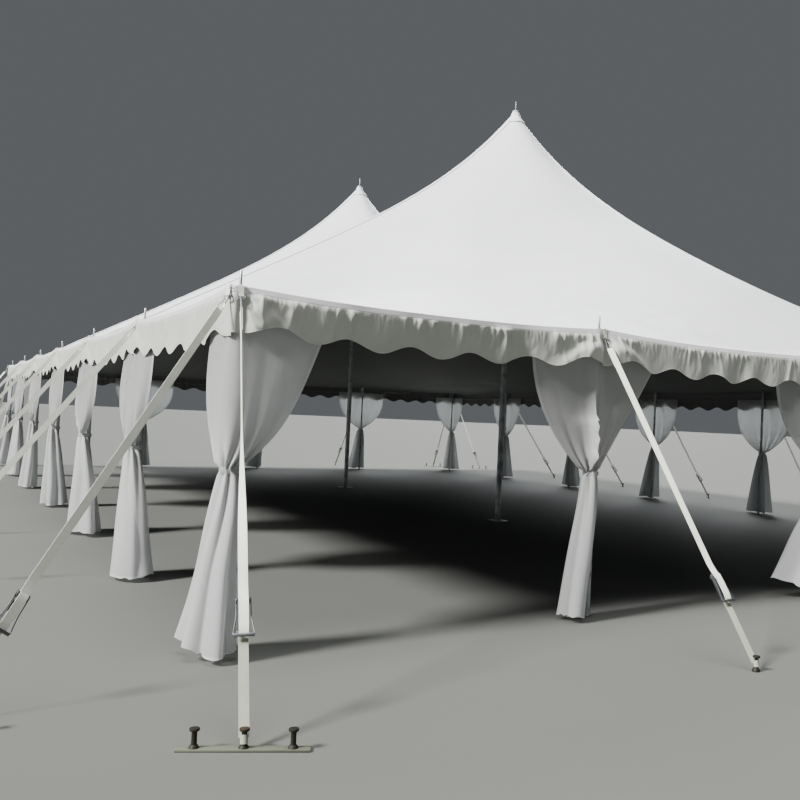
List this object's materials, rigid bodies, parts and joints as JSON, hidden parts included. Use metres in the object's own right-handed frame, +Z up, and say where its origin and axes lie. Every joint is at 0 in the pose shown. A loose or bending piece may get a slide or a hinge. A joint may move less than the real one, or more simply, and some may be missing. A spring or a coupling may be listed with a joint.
{
  "type": "marquee tent",
  "caption": "High-peak pole marquee with open sides, a scalloped valance, tied-back drapes and strap guys to ground stakes.",
  "frame": {"origin": "on the ground at the middle of the tent", "axes": "+Y from the front end to the back end, +X to the right seen from the front, +Z up"},
  "size_m": [15.842, 22.1172, 6.74],
  "materials": {
    "canopy": "smooth white coated cloth",
    "valance": "white coated cloth, puckered",
    "drape": "soft white voile",
    "pole_steel": "dull galvanised steel",
    "webbing": "woven strap webbing"
  },
  "bodies": {
    "root": {"canopy_front_end": "canopy", "canopy_middle": "canopy", "canopy_back_end": "canopy", "valance_front": "valance", "valance_back": "valance", "valance_left": "valance", "valance_right": "valance", "centre_pole_front": "pole_steel", "centre_pole_back": "pole_steel", "side_pole_front_1": "pole_steel", "side_pole_front_2": "pole_steel", "side_pole_front_3": "pole_steel", "side_pole_front_4": "pole_steel", "side_pole_front_5": "pole_steel", "side_pole_back_1": "pole_steel", "side_pole_back_2": "pole_steel", "side_pole_back_3": "pole_steel", "side_pole_back_4": "pole_steel", "side_pole_back_5": "pole_steel", "side_pole_left_1": "pole_steel", "side_pole_left_2": "pole_steel", "side_pole_left_3": "pole_steel", "side_pole_left_4": "pole_steel", "side_pole_left_5": "pole_steel", "side_pole_right_1": "pole_steel", "side_pole_right_2": "pole_steel", "side_pole_right_3": "pole_steel", "side_pole_right_4": "pole_steel", "side_pole_right_5": "pole_steel", "drapes_front": "drape", "drapes_back": "drape", "drapes_left": "drape", "drapes_right": "drape", "guy_front_1": "webbing", "guy_front_2": "webbing", "guy_front_3": "webbing", "guy_front_4": "webbing", "guy_front_5": "webbing", "guy_back_1": "webbing", "guy_back_2": "webbing", "guy_back_3": "webbing", "guy_back_4": "webbing", "guy_back_5": "webbing", "guy_left_1": "webbing", "guy_left_2": "webbing", "guy_left_3": "webbing", "guy_left_4": "webbing", "guy_left_5": "webbing", "guy_left_6": "webbing", "guy_left_7": "webbing", "guy_right_1": "webbing", "guy_right_2": "webbing", "guy_right_3": "webbing", "guy_right_4": "webbing", "guy_right_5": "webbing", "guy_right_6": "webbing", "guy_right_7": "webbing"}
  },
  "joints": []
}
